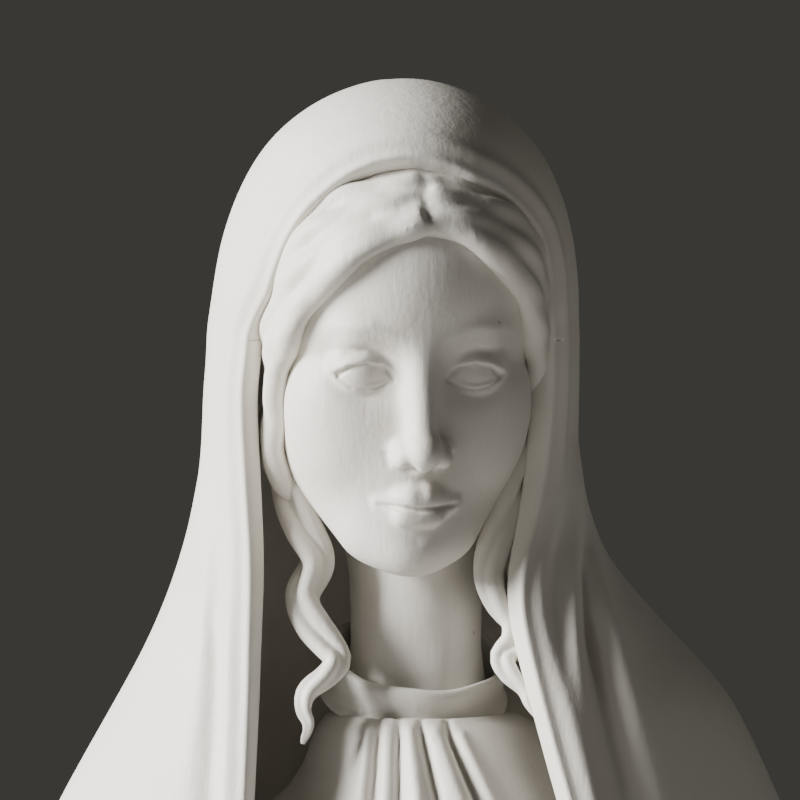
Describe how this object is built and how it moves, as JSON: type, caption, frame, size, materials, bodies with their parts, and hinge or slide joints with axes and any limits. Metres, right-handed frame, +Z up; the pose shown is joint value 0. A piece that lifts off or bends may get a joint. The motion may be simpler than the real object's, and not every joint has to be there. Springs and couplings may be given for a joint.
{
  "type": "madonna statue",
  "caption": "Standing veiled Madonna in white painted plaster on a round moulded plinth, open mantle over a pleated gown, bowed head with wavy hair, hands held low and open.",
  "frame": {"origin": "centre of the felt's underside, where the statue stands", "axes": "+Z up; the figure faces -Y; +X is her left"},
  "size_m": [0.2246, 0.16, 0.61],
  "materials": {
    "painted_plaster": "matte",
    "felt": "matte",
    "zinc_steel": "satin",
    "beech": "matte",
    "brass_wire": "satin"
  },
  "bodies": {
    "root": {"plinth": "painted_plaster", "felt_pad": "felt", "base_nut": "zinc_steel", "base_washer": "zinc_steel", "armature_rod": "zinc_steel", "hem_bulkhead": "painted_plaster", "gown": "painted_plaster", "sash": "painted_plaster", "collar_band": "painted_plaster", "neck_dowel": "beech", "head": "painted_plaster", "hair": "painted_plaster", "lock_right": "painted_plaster", "lock_left": "painted_plaster", "mantle": "painted_plaster", "sleeve_right": "painted_plaster", "sleeve_left": "painted_plaster", "hand_pin_right": "brass_wire", "hand_pin_left": "brass_wire", "hand_right": "painted_plaster", "hand_left": "painted_plaster", "foot_right": "painted_plaster", "foot_left": "painted_plaster"}
  },
  "joints": []
}
